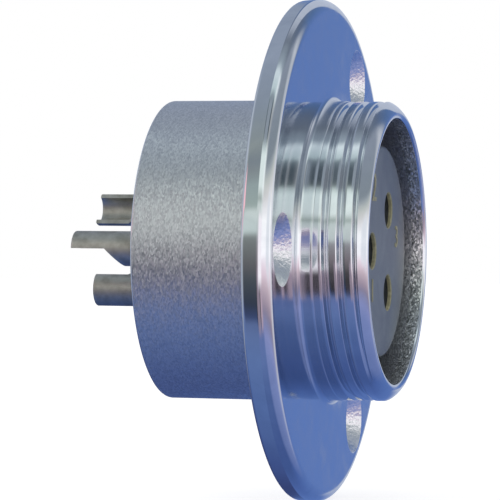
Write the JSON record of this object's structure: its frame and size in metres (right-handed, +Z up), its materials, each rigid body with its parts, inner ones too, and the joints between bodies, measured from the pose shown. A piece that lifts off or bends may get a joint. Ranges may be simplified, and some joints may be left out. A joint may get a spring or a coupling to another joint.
{
  "type": "circular connector receptacle",
  "caption": "Panel-mount circular power receptacle: plated die-cast shell with a round flange and threaded barrel, insulated sockets in front and solder cups behind.",
  "frame": {"origin": "on the connector's axis, in the plane of the flange's back face, which lies on the panel", "axes": "+X along the axis towards the mating side, +Z up, +Y to the right seen from in front of the panel"},
  "size_m": [0.0321, 0.05, 0.05],
  "materials": {
    "plated_shell": "bright turned in front, satin as cast behind",
    "front_moulding": "smooth moulded",
    "rear_moulding": "moulded",
    "silvered_brass": "dull silver plate",
    "spring_steel": "plain"
  },
  "bodies": {
    "root": {"shell": "plated_shell", "front_insulator": "front_moulding", "rear_insulator": "rear_moulding", "retaining_ring": "spring_steel", "contact_1": "silvered_brass", "contact_2": "silvered_brass", "contact_3": "silvered_brass", "tine_ring_1": "spring_steel", "tine_ring_2": "spring_steel", "tine_ring_3": "spring_steel"}
  },
  "joints": []
}
